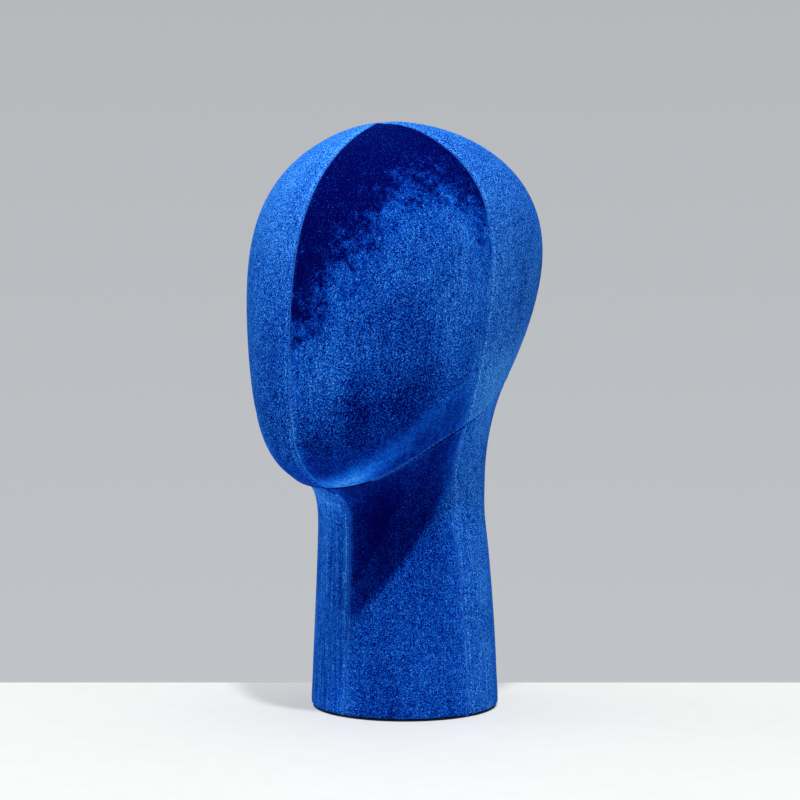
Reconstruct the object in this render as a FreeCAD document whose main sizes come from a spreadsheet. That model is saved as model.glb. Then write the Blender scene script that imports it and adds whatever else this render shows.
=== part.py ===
"""Velvet-covered display head on a neck: a faceless stand for wigs, hats and caps.

Millimetres. +Z is up, the face looks along -Y, +X is the head's left side.
The origin is on the floor, at the centre of the neck's base.

The form is an egg-shaped head whose chin, jaw and nape run into a round neck.
Every layer of it is worked out from one outer surface: velvet panels outside,
a thin foam lining under them and a moulded shell under the foam. The base holds
a plywood board, a steel ballast plate and the fixings that close the hem.
"""
import FreeCAD, Part
import math
import os

import Sketcher
from FreeCAD import Placement, Rotation, Vector

DRIVING = {
    # head form
    "total_height": 360.0,
    "widest_level": 246.0,
    "crown_back_shift": 18.5,
    "face_fullness": 2.2,
    "skull_fullness": 2.1,
    # neck column
    "neck_radius_base": 58.2,
    "neck_radius_middle": 55.4,
    "neck_radius_top": 51.5,
    "neck_middle_level": 60.0,
    "neck_top_level": 120.0,
    "neck_forward_lean": 3.2,
    "side_seam_twist": 9.5,
    # velvet, lining and shell
    "velvet_thickness": 1.4,
    "lining_thickness": 3.0,
    "shell_thickness": 3.0,
    "layer_gap": 0.25,
    "seam_gap": 1.4,
    "thread_width": 1.0,
    "crown_opening": 3.0,
    "crown_tack_radius": 2.6,
    "tape_width": 22.0,
    "tape_thickness": 1.5,
    "tape_resin": 1.0,
    # base
    "pad_thickness": 0.9,
    "pad_radius": 57.0,
    "staple_wire": 0.5,
    "hem_radius": 1.8,
    "hem_fold_width": 13.0,
    "board_radius": 49.5,
    "board_thickness": 15.0,
    "ballast_radius": 38.0,
    "ballast_thickness": 8.0,
    "ballast_screw_circle": 24.0,
    "ballast_screw_radius": 2.0,
    "ballast_screw_length": 18.0,
    "ballast_screw_clearance": 0.3,
    "screw_head_radius": 4.0,
    "screw_head_height": 2.4,
    "washer_radius": 6.0,
    "washer_thickness": 1.2,
    "shell_screw_radius": 1.75,
    "shell_screw_length": 18.0,
    "staple_circle": 46.0,
    "staple_width": 9.0,
    "staple_depth": 6.0,
}

# The head's reach from its upright axis, at angles down from the crown:
# forward to the face, sideways to the temples and back to the skull.
HEAD_REACH = (
    (0, 33.0, 115.5, 119.0),
    (30, 73.5, 104.5, 135.5),
    (60, 86.0, 90.0, 129.5),
    (90, 88.5, 78.0, 106.0),
    (120, 103.5, 77.5, 71.0),
    (150, 143.0, 93.5, 27.5),
    (170, 180.0, 118.0, 8.0),
)
# (angle down from the crown, how far in front of the origin the head is widest)
WIDEST_LINE = ((0, 18), (60, 11.5), (110, 17), (170, 12))
# (height, how far in front of the origin the side seam runs)
SIDE_SEAM = ((130, 19), (230, 19), (300, 19.5), (325, 24), (345, 29.5), (360, 27))
# (depth, height) of the seam between head and neck, from chin to nape
JAW_SEAM = (
    (-95, 130), (-76, 140), (-50, 160.5), (-25, 174.5),
    (0, 187), (20, 198), (60, 207), (80, 209),
)
# (degrees round from the chin, height over which the neck opens out to meet the head,
# power of that rise: the higher it is, the flatter the underside of the jaw)
FLARE = (
    (0, 36, 5), (25, 40, 5), (50, 60, 4), (75, 50, 2.4),
    (100, 50, 2.2), (140, 72, 2.2), (180, 80, 2.2),
)

SHELL_SCREWS = 4
BALLAST_SCREWS = 3
STAPLES = 16

doc = FreeCAD.newDocument("display_head")
sheet = doc.addObject("Spreadsheet::Sheet", "sizes")
for row, (name, number) in enumerate(DRIVING.items(), start=1):
    sheet.set(f"A{row}", name)
    sheet.set(f"B{row}", str(number))
    sheet.setAlias(f"B{row}", name)
doc.recompute()


def size(name):
    return float(sheet.get(name))


# ---------------------------------------------------------------- smooth curves

def smooth(points):
    """A smooth function through (x, value) points."""
    curve = Part.BSplineCurve()
    curve.interpolate(
        Points=[Vector(x, value, 0) for x, value in points],
        Parameters=[float(x) for x, _ in points],
    )
    return lambda x: curve.value(x).y


forward_reach = smooth([(angle, front) for angle, front, _, _ in HEAD_REACH])
sideways_reach = smooth([(angle, side) for angle, _, side, _ in HEAD_REACH])
backward_reach = smooth([(angle, back) for angle, _, _, back in HEAD_REACH])
widest_line = smooth(WIDEST_LINE)
side_seam_front = smooth(SIDE_SEAM)
jaw_seam_height = smooth(JAW_SEAM)
flare_height = smooth([(turn, height) for turn, height, _ in FLARE])
flare_power = smooth([(turn, power) for turn, _, power in FLARE])


# ---------------------------------------------------------------- the head form

HEIGHT = size("total_height")
MID = size("widest_level")
RISE = HEIGHT - MID
AXIS_Y = -size("crown_back_shift")
EYE_OF_FORM = Vector(0, -19, 240)  # a point well inside, which sees the whole form
FARTHEST = 220.0  # further than any of the surface is from there
OUTSIDE = 1.0
LOWEST_HEAD_LEVEL = -0.99
FACE_FULLNESS = size("face_fullness")
SKULL_FULLNESS = size("skull_fullness")


def head_field(point):
    """Below zero inside the head, zero on its surface, above zero outside."""
    level = (point.z - MID) / RISE
    if not LOWEST_HEAD_LEVEL < level < 1:
        return OUTSIDE
    angle = math.degrees(math.acos(level))
    spread = math.sin(math.radians(angle))
    widest = -widest_line(angle)
    half_width = sideways_reach(angle) * spread
    if point.y < widest:
        depth = widest - (AXIS_Y - forward_reach(angle) * spread)
        power = FACE_FULLNESS
    else:
        depth = AXIS_Y + backward_reach(angle) * spread - widest
        power = SKULL_FULLNESS
    across = abs(point.x) / half_width
    along = abs(point.y - widest) / depth
    return across ** power + along ** power - 1


HALVINGS = 32


def bisect(wrong_side, low, high):
    """The place between low and high where wrong_side turns from False to True."""
    for _ in range(HALVINGS):
        middle = (low + high) / 2
        if wrong_side(middle):
            high = middle
        else:
            low = middle
    return (low + high) / 2


def cast(ray):
    """The point of the head's surface seen from inside along this ray."""
    reach = bisect(lambda distance: head_field(EYE_OF_FORM + ray * distance) > 0, 0, FARTHEST)
    return EYE_OF_FORM + ray * reach


def midline_at(y):
    """The top of the head on its middle plane, at depth y."""
    return Vector(0, y, bisect(lambda z: head_field(Vector(0, y, z)) > 0, MID, HEIGHT))


CROWN = midline_at(-side_seam_front(HEIGHT))
POLE = (CROWN - EYE_OF_FORM).normalize()
SIDEWAYS = Vector(1, 0, 0)
FORWARD = SIDEWAYS.cross(POLE).normalize()


def direction(tilt, turn):
    """tilt: degrees down from the crown; turn: degrees round from the face to the left."""
    down, around = math.radians(tilt), math.radians(turn)
    level = FORWARD * math.cos(around) + SIDEWAYS * math.sin(around)
    return POLE * math.cos(down) + level * math.sin(down)


def below_jaw_seam(tilt, turn):
    """True where the head's surface has passed under the seam with the neck."""
    point = cast(direction(tilt, turn))
    return point.z < jaw_seam_height(point.y)


JAW_TILT_RANGE = (60, 165)
SIDE_TURN_RANGE = (30, 150)
TURN_STEP = 7.5
TURNS = [step * TURN_STEP for step in range(int(180 / TURN_STEP) + 1)]
jaw_tilt = smooth([
    (turn, bisect(lambda tilt: below_jaw_seam(tilt, turn), *JAW_TILT_RANGE)) for turn in TURNS
])
TOP_TILT = math.degrees(math.asin(size("crown_opening") / (CROWN - EYE_OF_FORM).Length))


NEARBY = 0.05  # millimetres
TURN_NEARBY = 0.5  # degrees
CLIMB_NEARBY = 0.004


def folded(turn):
    """The same place on the left half, for a turn that passes the middle plane."""
    return abs(turn) if abs(turn) <= 180 else 360 - abs(turn)


def head_point(fall, turn):
    """fall: 0 at the crown opening to 1 at the jaw seam."""
    tilt = TOP_TILT + fall * (jaw_tilt(folded(turn)) - TOP_TILT)
    return cast(direction(tilt, turn))


def head_normal(point):
    """The outward direction at a point of the head's surface."""
    here = head_field(point)
    slopes = [
        here - head_field(point - axis * NEARBY)
        for axis in (Vector(1, 0, 0), Vector(0, 1, 0), Vector(0, 0, 1))
    ]
    return Vector(*slopes).normalize()


def side_seam_turn(fall):
    """The turn at which the side seam runs, this far down the head."""
    def behind(turn):
        point = head_point(fall, turn)
        return point.y > -side_seam_front(point.z)
    return bisect(behind, *SIDE_TURN_RANGE)


SEAM_FALLS = (0.05, 0.1, 0.17, 0.25, 0.35, 0.45, 0.6, 0.8, 1.0)
seam_turn = smooth([(fall, side_seam_turn(fall)) for fall in SEAM_FALLS])


# ---------------------------------------------------------------- the neck form

HEM_BOTTOM = size("pad_thickness") + size("staple_wire")
HEM_RADIUS = size("hem_radius")
HEM_TOP = HEM_BOTTOM + HEM_RADIUS
NECK_TOP = size("neck_top_level")
LEAN = size("neck_forward_lean")
TWIST = size("side_seam_twist")

neck_radius = smooth((
    (0, size("neck_radius_base")),
    (size("neck_middle_level"), size("neck_radius_middle")),
    (NECK_TOP, size("neck_radius_top")),
))
ROUND_TURNS = [turn - 180 for turn in TURNS] + TURNS[1:] + [turn + 180 for turn in TURNS[1:]]
JAW_POINTS = [head_point(1, turn) for turn in ROUND_TURNS]
jaw_x, jaw_y, jaw_z = (
    smooth([(turn, point[axis]) for turn, point in zip(ROUND_TURNS, JAW_POINTS)])
    for axis in range(3)
)


def column(z, bearing, tuck=0.0):
    """A point of the round column; bearing 0 is the front and 90 the left side."""
    radius = neck_radius(min(z, NECK_TOP)) - tuck
    lean = LEAN * (min(z, NECK_TOP) / NECK_TOP) ** 3
    around = math.radians(bearing)
    return Vector(radius * math.sin(around), -lean - radius * math.cos(around), z)


def neck_point(climb, turn):
    """climb: -1 at the hem's lower edge, 0 where the hem's roll ends, 1 at the jaw seam."""
    top = Vector(jaw_x(turn), jaw_y(turn), jaw_z(turn))
    bearing = math.degrees(math.atan2(top.x, -(top.y + LEAN)))
    twist = TWIST * (1 - max(climb, 0)) * math.sin(math.radians(bearing))
    if climb < 0:
        roll = math.radians(-90 * climb)
        tuck = HEM_RADIUS * (1 - math.cos(roll))
        return column(HEM_TOP - HEM_RADIUS * math.sin(roll), bearing + twist, tuck)
    z = HEM_TOP + climb * (top.z - HEM_TOP)
    open_share = max(0.0, 1 - (top.z - z) / flare_height(folded(turn)))
    rise = open_share ** flare_power(folded(turn))
    spread = top - column(top.z, bearing)
    return column(z, bearing + twist) + spread * rise


def neck_normal(climb, turn):
    """The outward direction at a point of the neck's surface."""
    above = neck_point(min(climb + CLIMB_NEARBY, 1), turn)
    below = neck_point(max(climb - CLIMB_NEARBY, -1), turn)
    left = neck_point(climb, turn + TURN_NEARBY)
    right = neck_point(climb, turn - TURN_NEARBY)
    return (left - right).cross(above - below).normalize()


# ---------------------------------------------------------------- sheets of one thickness

GAP = size("layer_gap")
VELVET = size("velvet_thickness")
LINING_DEPTH = VELVET + GAP
SHELL_DEPTH = LINING_DEPTH + size("lining_thickness") + GAP
TAPE_DEPTH = SHELL_DEPTH + size("shell_thickness") + size("tape_resin")
HALF_GAP = size("seam_gap") / 2
SEW_TOLERANCE = 0.01


def solid_between(outer_grid, inner_grid):
    """A closed solid between two smooth surfaces through matching grids of points."""
    outer, inner = Part.BSplineSurface(), Part.BSplineSurface()
    outer.interpolate(outer_grid)
    inner.interpolate(inner_grid)
    faces = [outer.toShape(), inner.toShape()]
    for edge_of in (
        lambda surface: surface.uIso(surface.bounds()[0]),
        lambda surface: surface.uIso(surface.bounds()[1]),
        lambda surface: surface.vIso(surface.bounds()[2]),
        lambda surface: surface.vIso(surface.bounds()[3]),
    ):
        faces.append(Part.makeRuledSurface(edge_of(outer).toShape(), edge_of(inner).toShape()))
    shell = Part.Shell(faces)
    shell.sewShape(SEW_TOLERANCE)
    solid = Part.Solid(shell)
    if solid.Volume < 0:
        solid.reverse()
    return solid


def spaced(low, high, count):
    return [low + (high - low) * step / (count - 1) for step in range(count)]


def head_pair(fall, turn):
    """Point and outward normal of the head."""
    point = head_point(fall, turn)
    return point, head_normal(point)


def neck_pair(climb, turn):
    """Point and outward normal of the neck."""
    return neck_point(climb, turn), neck_normal(climb, turn)


def sheet_solid(pair_of, levels, turns_at, depth, thickness, columns):
    """A sheet that lies this deep under the form's surface, over these levels and turns."""
    outer_grid, inner_grid = [], []
    for level in levels:
        low, high = turns_at(level)
        pairs = [pair_of(level, turn) for turn in spaced(low, high, columns)]
        outer_grid.append([point - normal * depth for point, normal in pairs])
        inner_grid.append([point - normal * (depth + thickness) for point, normal in pairs])
    return solid_between(outer_grid, inner_grid)


def turn_over(pair_of, level, turn, length):
    """The turn, in degrees, that moves a point this far round the form."""
    run = pair_of(level, turn + TURN_NEARBY)[0] - pair_of(level, turn - TURN_NEARBY)[0]
    return length * 2 * TURN_NEARBY / run.Length


SHORTEST_HEAD_FALL = 195.0
SHORTEST_NECK_CLIMB = 135.0
HEAD_END = 1 - HALF_GAP / SHORTEST_HEAD_FALL
NECK_END = 1 - HALF_GAP / SHORTEST_NECK_CLIMB
HEAD_LEVELS = spaced(0, HEAD_END, 25)
NECK_RISING = [0.24, 0.33, 0.42, 0.51, 0.59, 0.66, 0.73, 0.79, 0.84, 0.88, 0.915, 0.945]
NECK_LEVELS = [-1, -0.75, -0.5, -0.25, 0, 0.05, 0.15] + NECK_RISING + [0.975, NECK_END]
# The foam stops short of the jaw seam, where the shell's crease is rounded.
LINING_HEAD_LEVELS = spaced(0.003, 0.975, 25)
LINING_NECK_LEVELS = [0.012, 0.06, 0.15] + NECK_RISING[:-1]
NECK_SEAM_TURN = seam_turn(1)


def inset(pair_of, level, turn, side):
    """The turn that stays half a seam gap clear of the seam at this turn."""
    return turn + side * turn_over(pair_of, level, turn, HALF_GAP)


def face_turns(fall):
    return inset(head_pair, fall, 0, 1), inset(head_pair, fall, seam_turn(fall), -1)


def back_turns(fall):
    return inset(head_pair, fall, seam_turn(fall), 1), inset(head_pair, fall, 180, -1)


def neck_front_turns(climb):
    return inset(neck_pair, climb, 0, 1), inset(neck_pair, climb, NECK_SEAM_TURN, -1)


def neck_back_turns(climb):
    return inset(neck_pair, climb, NECK_SEAM_TURN, 1), inset(neck_pair, climb, 180, -1)


def left_half(pair_of):
    """All of the left half, clear of the middle plane by half a seam gap."""
    return lambda level: (inset(pair_of, level, 0, 1), inset(pair_of, level, 180, -1))


def strip(pair_of, turn_at, width):
    """A strip of this width along one line of the form."""
    def turns(level):
        middle = turn_at(level)
        swing = turn_over(pair_of, level, middle, width / 2)
        return middle - swing, middle + swing
    return turns


def at(turn):
    return lambda level: turn


# ---------------------------------------------------------------- the document's pieces

pieces = []


def add_feature(label, shape):
    """A piece whose shape is computed where it stands."""
    feature = doc.addObject("Part::Feature", label)
    feature.Label = label
    feature.Shape = shape
    feature.Placement = Placement()
    pieces.append(feature)
    return feature


def add_pair(label, shape):
    """A left piece and its mirror image on the right."""
    add_feature(f"{label}_left", shape)
    add_feature(f"{label}_right", shape.mirror(Vector(0, 0, 0), Vector(1, 0, 0)))


# ---------------------------------------------------------------- velvet panels

PANEL_COLUMNS = 13


def add_velvet_panels():
    for label, pair_of, levels, turns_at in (
        ("face_cover", head_pair, HEAD_LEVELS, face_turns),
        ("back_cover", head_pair, HEAD_LEVELS, back_turns),
        ("neck_cover_front", neck_pair, NECK_LEVELS, neck_front_turns),
        ("neck_cover_back", neck_pair, NECK_LEVELS, neck_back_turns),
    ):
        add_pair(label, sheet_solid(pair_of, levels, turns_at, 0, VELVET, PANEL_COLUMNS))


# ---------------------------------------------------------------- seam threads

THREAD = size("thread_width")
THREAD_DEPTH = (VELVET - THREAD) / 2
THREAD_COLUMNS = 3
JAW_THREAD_POINTS = 41


def thread_along(pair_of, levels, turn_at):
    turns = strip(pair_of, turn_at, THREAD)
    return sheet_solid(pair_of, levels, turns, THREAD_DEPTH, THREAD, THREAD_COLUMNS)


def jaw_thread():
    """The left half of the thread round the seam between head and neck."""
    outer_grid, inner_grid = [], []
    clear = turn_over(head_pair, 1, 0, HALF_GAP)
    for turn in spaced(clear, 180 - clear, JAW_THREAD_POINTS):
        point, head_side = head_pair(1, turn)
        neck_side = neck_pair(1, turn)[1]
        outward = (head_side + neck_side).normalize()
        ahead, behind = head_point(1, turn + TURN_NEARBY), head_point(1, turn - TURN_NEARBY)
        run = (ahead - behind).normalize()
        across = run.cross(outward).normalize() * (THREAD / 2)
        top = point - outward * THREAD_DEPTH
        line = [top - across, top, top + across]
        outer_grid.append(line)
        inner_grid.append([spot - outward * THREAD for spot in line])
    return solid_between(outer_grid, inner_grid)


def add_threads():
    add_feature("face_seam_thread", thread_along(head_pair, HEAD_LEVELS, at(0)))
    add_feature("back_seam_thread", thread_along(head_pair, HEAD_LEVELS, at(180)))
    add_pair("side_seam_thread", thread_along(head_pair, HEAD_LEVELS, seam_turn))
    add_pair("jaw_seam_thread", jaw_thread())
    add_feature("neck_front_seam_thread", thread_along(neck_pair, NECK_LEVELS, at(0)))
    add_feature("neck_back_seam_thread", thread_along(neck_pair, NECK_LEVELS, at(180)))
    add_pair("neck_side_seam_thread", thread_along(neck_pair, NECK_LEVELS, at(NECK_SEAM_TURN)))


# ---------------------------------------------------------------- lining and shell

HALF_COLUMNS = 25
TAPE_COLUMNS = 7


def add_lining():
    thickness = size("lining_thickness")
    for label, pair_of, levels in (
        ("head_lining", head_pair, LINING_HEAD_LEVELS),
        ("neck_lining", neck_pair, LINING_NECK_LEVELS),
    ):
        turns_at = left_half(pair_of)
        half = sheet_solid(pair_of, levels, turns_at, LINING_DEPTH, thickness, HALF_COLUMNS)
        add_pair(label, half)


# The shell rounds the crease under the jaw, so its levels skip a little either side of it.
SHELL_HEAD_LEVELS = spaced(0, 0.98, 21)
SHELL_NECK_LEVELS = [
    0.96, 0.915, 0.87, 0.82, 0.76, 0.7, 0.63, 0.55, 0.46, 0.37, 0.28, 0.19, 0.1, 0.04, 0,
]


def head_and_neck(head_levels, head_turns, neck_turns, depth, thickness, columns):
    """One smooth sheet inside both the head and the neck, down to the base."""
    outer_grid, inner_grid = [], []
    for pair_of, levels, turns_at in (
        (head_pair, head_levels, head_turns),
        (neck_pair, SHELL_NECK_LEVELS, neck_turns),
    ):
        for level in levels:
            pairs = [pair_of(level, turn) for turn in spaced(*turns_at(level), columns)]
            outer_grid.append([point - normal * depth for point, normal in pairs])
            inner_grid.append([point - normal * (depth + thickness) for point, normal in pairs])
    return solid_between(outer_grid, inner_grid)


def shell_half():
    """The left half of the moulded shell: head and neck in one, open at the base."""
    halves = left_half(head_pair), left_half(neck_pair)
    thickness = size("shell_thickness")
    return head_and_neck(SHELL_HEAD_LEVELS, *halves, SHELL_DEPTH, thickness, HALF_COLUMNS)


def joint_tape(turn):
    """The bonding tape inside the shell's joint on the middle plane, down to the board."""
    width = size("tape_width")
    strips = strip(head_pair, at(turn), width), strip(neck_pair, at(turn), width)
    clear_of_crown = SHELL_HEAD_LEVELS[3:]
    thickness = size("tape_thickness")
    tape = head_and_neck(clear_of_crown, *strips, TAPE_DEPTH, thickness, TAPE_COLUMNS)
    kept = Part.makeBox(HEIGHT, HEIGHT, HEIGHT, Vector(-HEIGHT / 2, -HEIGHT / 2, BOARD_TOP + GAP))
    return tape.common(kept).Solids[0]


def add_shell():
    holes = Part.makeCompound(shell_screw_shapes())
    add_pair("shell", shell_half().cut(holes).Solids[0])
    add_feature("joint_tape_front", joint_tape(0))
    add_feature("joint_tape_back", joint_tape(180))


def add_crown_tack():
    """A domed knot of thread where the four head seams meet."""
    radius = size("crown_tack_radius")
    tack = doc.addObject("Part::Cylinder", "tack_blank")
    tack.setExpression("Radius", "<<sizes>>.crown_tack_radius")
    tack.setExpression("Height", "<<sizes>>.velvet_thickness")
    doc.recompute()
    rim = next(
        number for number, edge in enumerate(tack.Shape.Edges, start=1)
        if edge.BoundBox.ZMin > size("velvet_thickness") / 2
    )
    dome = doc.addObject("Part::Fillet", "crown_tack")
    dome.Label = "crown_tack"
    dome.Base = tack
    dome.Edges = [(rim, radius / 4, radius / 4)]
    base = CROWN - POLE * size("velvet_thickness")
    dome.Placement = Placement(base, Rotation(Vector(0, 0, 1), POLE))
    pieces.append(dome)


# ---------------------------------------------------------------- base

BOARD_BOTTOM = HEM_BOTTOM + VELVET + GAP
BOARD_TOP = BOARD_BOTTOM + size("board_thickness")
PLATE_TOP = BOARD_TOP + size("ballast_thickness")
WASHER_TOP = PLATE_TOP + size("washer_thickness")
SHELL_SCREW_LEVEL = (BOARD_BOTTOM + BOARD_TOP) / 2


def bearings(count, first=0.0):
    return [first + 360 / count * step for step in range(count)]


def turned(shape, bearing):
    """A copy of the shape turned about the upright axis."""
    return shape.copy().rotate(Vector(0, 0, 0), Vector(0, 0, 1), bearing)


def ring_of(shape, count, first=0.0):
    return [turned(shape, bearing) for bearing in bearings(count, first)]


def shell_screw_shapes():
    """Countersunk screws, each through the shell's wall into the board's edge."""
    shank_radius, head_radius = size("shell_screw_radius"), size("screw_head_radius")
    start = Vector(0, -neck_radius(SHELL_SCREW_LEVEL) + SHELL_DEPTH + GAP, SHELL_SCREW_LEVEL)
    inward = Vector(0, 1, 0)
    head = Part.makeCone(head_radius, shank_radius, head_radius - shank_radius, start, inward)
    shank = Part.makeCylinder(shank_radius, size("shell_screw_length"), start, inward)
    return ring_of(head.fuse(shank).removeSplitter(), SHELL_SCREWS, 45)


def ballast_screw_shapes():
    """Pan-head screws on washers, down through the ballast plate into the board."""
    centre = Vector(size("ballast_screw_circle"), 0, WASHER_TOP)
    head = Part.makeCylinder(size("screw_head_radius"), size("screw_head_height"), centre)
    head = head.makeFillet(size("screw_head_height") / 3, [head.Edges[0]])
    down = Vector(0, 0, -1)
    shank = Part.makeCylinder(size("ballast_screw_radius"), size("ballast_screw_length"), centre, down)
    slot = Part.makeBox(size("screw_head_radius"), size("staple_wire"), size("screw_head_height"))
    slot.translate(centre + Vector(-size("screw_head_radius") / 2, 0, size("screw_head_height") / 2))
    return ring_of(head.fuse(shank).cut(slot).removeSplitter(), BALLAST_SCREWS)


def staple_shapes():
    """Wire staples, driven up through the folded hem into the board."""
    wire, width = size("staple_wire"), size("staple_width")
    height = size("staple_depth") + wire
    corner = Vector(size("staple_circle"), -width / 2, HEM_BOTTOM - wire)
    crown = Part.makeBox(wire, width, wire, corner)
    legs = [
        Part.makeBox(wire, wire, height, corner + Vector(0, along, 0)) for along in (0, width - wire)
    ]
    staple = crown.fuse(legs).removeSplitter()
    return ring_of(staple, STAPLES, 360 / STAPLES / 2)


def disc_body(label, radius_alias, thickness_alias, level):
    """A round plate: one sketched circle, padded up from this level."""
    body = doc.addObject("PartDesign::Body", label)
    body.Label = label
    ground = next(plane for plane in body.Origin.OriginFeatures if plane.Role == "XY_Plane")
    outline = body.newObject("Sketcher::SketchObject", f"{label}_outline")
    outline.AttachmentSupport = [(ground, "")]
    outline.MapMode = "FlatFace"
    outline.addGeometry(Part.Circle(Vector(0, 0, 0), Vector(0, 0, 1), size(radius_alias)))
    outline.addConstraint(Sketcher.Constraint("Coincident", 0, 3, -1, 1))
    outline.addConstraint(Sketcher.Constraint("Radius", 0, size(radius_alias)))
    outline.setExpression("Constraints[1]", f"<<sizes>>.{radius_alias}")
    pad = body.newObject("PartDesign::Pad", f"{label}_pad")
    pad.Profile = outline
    pad.setExpression("Length", f"<<sizes>>.{thickness_alias}")
    body.Placement = Placement(Vector(0, 0, level), Rotation())
    return body


def cut_piece(label, blank, tools):
    """The blank less these computed tool shapes, as its own piece."""
    tool = doc.addObject("Part::Feature", f"{label}_holes")
    tool.Shape = Part.makeCompound(tools)
    piece = doc.addObject("Part::Cut", label)
    piece.Base, piece.Tool = blank, tool
    piece.Label = label
    pieces.append(piece)


def add_base():
    pad = disc_body("base_pad", "pad_radius", "pad_thickness", 0)
    pieces.append(pad)

    screws, staples = ballast_screw_shapes(), staple_shapes()
    board = disc_body("board_blank", "board_radius", "board_thickness", BOARD_BOTTOM)
    cut_piece("base_board", board, screws + staples + shell_screw_shapes())

    hole_radius = size("ballast_screw_radius") + size("ballast_screw_clearance")
    hole_place = Vector(size("ballast_screw_circle"), 0, BOARD_TOP)
    hole = Part.makeCylinder(hole_radius, 2 * size("ballast_thickness"), hole_place)
    plate = disc_body("plate_blank", "ballast_radius", "ballast_thickness", BOARD_TOP)
    cut_piece("ballast_plate", plate, ring_of(hole, BALLAST_SCREWS))

    hem_outer = neck_radius(HEM_TOP) - HEM_RADIUS - GAP
    hem_floor = Vector(0, 0, HEM_BOTTOM)
    hem = Part.makeCylinder(hem_outer, VELVET, hem_floor)
    hem = hem.cut(Part.makeCylinder(hem_outer - size("hem_fold_width"), VELVET, hem_floor))
    add_feature("hem_fold", hem.cut(staples).Solids[0])

    washer_place = Vector(size("ballast_screw_circle"), 0, PLATE_TOP)
    washer = Part.makeCylinder(size("washer_radius"), size("washer_thickness"), washer_place)
    washer = washer.cut(Part.makeCylinder(hole_radius, size("washer_thickness"), washer_place))
    add_feature("ballast_washers", Part.makeCompound(ring_of(washer, BALLAST_SCREWS)))
    add_feature("ballast_screws", Part.makeCompound(screws))
    add_feature("shell_screws", Part.makeCompound(shell_screw_shapes()))
    add_feature("hem_staples", Part.makeCompound(staples))


# ---------------------------------------------------------------- build, check and write

def check_and_write():
    doc.recompute()
    for item in doc.Objects:
        if "Invalid" in item.State or "Error" in item.State:
            raise RuntimeError(f"{item.Label} did not compute: {item.State}")
    for piece in pieces:
        shape = piece.Shape
        if shape.isNull() or not shape.isValid() or shape.Volume <= 0:
            raise RuntimeError(f"{piece.Label} has no sound solid")
    os.makedirs("parts", exist_ok=True)
    for piece in pieces:
        piece.Shape.exportStep(f"parts/{piece.Label}.step")
        print(piece.Label, len(piece.Shape.Solids), "solid(s)", round(piece.Shape.Volume), "mm3")


add_velvet_panels()
add_threads()
add_lining()
add_shell()
add_crown_tack()
add_base()
check_and_write()
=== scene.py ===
"""Looks of the velvet display head: eight sewn velvet panels over a padded form that stands on its neck.

The panels are rebuilt as clean meshes over the CAD covers, with rolled seam edges, and every material is
procedural. Lengths are metres; the face looks towards -Y and the head's left side is +X.
"""
import math

import bpy
import numpy as np
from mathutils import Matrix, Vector
from mathutils.bvhtree import BVHTree


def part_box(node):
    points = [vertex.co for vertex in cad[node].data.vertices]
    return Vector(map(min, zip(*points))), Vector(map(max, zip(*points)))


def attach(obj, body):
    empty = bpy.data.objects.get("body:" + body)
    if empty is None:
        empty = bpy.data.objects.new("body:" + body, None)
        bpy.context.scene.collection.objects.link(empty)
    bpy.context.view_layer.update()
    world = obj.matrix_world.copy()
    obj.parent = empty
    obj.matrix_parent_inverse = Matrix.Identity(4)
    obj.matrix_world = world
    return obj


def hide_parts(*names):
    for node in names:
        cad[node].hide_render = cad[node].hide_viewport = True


MM = 0.001
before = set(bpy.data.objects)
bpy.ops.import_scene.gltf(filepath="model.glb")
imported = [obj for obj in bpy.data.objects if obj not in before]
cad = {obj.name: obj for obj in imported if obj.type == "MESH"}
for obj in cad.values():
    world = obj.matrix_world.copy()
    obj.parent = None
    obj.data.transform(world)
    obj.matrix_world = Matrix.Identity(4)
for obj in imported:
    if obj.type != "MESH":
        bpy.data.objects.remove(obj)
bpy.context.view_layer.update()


# ------------------------------------------------------------------ reading the form of the CAD covers

def node_points(name):
    """A CAD node's vertices as an array."""
    return np.array([vertex.co[:] for vertex in cad[name].data.vertices])


def tree_of(names):
    """One search tree over several CAD nodes."""
    points, faces = [], []
    for name in names:
        start = len(points)
        points += [vertex.co.copy() for vertex in cad[name].data.vertices]
        faces += [[start + index for index in polygon.vertices] for polygon in cad[name].data.polygons]
    return BVHTree.FromPolygons(points, faces)


def local_line(at, x, y, reach):
    """At each place in `at`, the value of the line that best fits the points (x, y) within about `reach`."""
    fitted = []
    for place in np.atleast_1d(at):
        weight = np.exp(-(((x - place) / reach) ** 2))
        mean_x, mean_y = np.average(x, weights=weight), np.average(y, weights=weight)
        spread = np.average((x - mean_x) ** 2, weights=weight)
        slope = np.average((x - mean_x) * (y - mean_y), weights=weight) / max(spread, 1e-12)
        fitted.append(mean_y + slope * (place - mean_x))
    return np.array(fitted)


INSIDE = np.array((0, -0.019, 0.240))  # a point well inside the head, which sees all of it
crown = node_points("crown_tack").mean(axis=0)
POLE = (crown - INSIDE) / np.linalg.norm(crown - INSIDE)
LEFT = np.array((1.0, 0.0, 0.0))
FORWARD = np.cross(LEFT, POLE)
CROWN_OPENING = 2.6 * MM  # radius of the ring under the tack where the four head panels start
CROWN_TILT = math.degrees(math.asin(CROWN_OPENING / np.linalg.norm(crown - INSIDE)))


def towards(tilt, turn):
    """Directions from INSIDE: tilt from the crown; turn 0 to the face, 90 to the left and 180 to the back."""
    tilt, turn = np.radians(tilt), np.radians(turn)
    level = np.cos(turn)[..., None] * FORWARD + np.sin(turn)[..., None] * LEFT
    return np.cos(tilt)[..., None] * POLE + np.sin(tilt)[..., None] * level


def tilt_and_turn(points):
    """The reverse of towards()."""
    rays = points - INSIDE
    rays = rays / np.linalg.norm(rays, axis=1)[:, None]
    tilt = np.degrees(np.arccos(np.clip(rays @ POLE, -1, 1)))
    return tilt, np.degrees(np.arctan2(rays @ LEFT, rays @ FORWARD))


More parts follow.
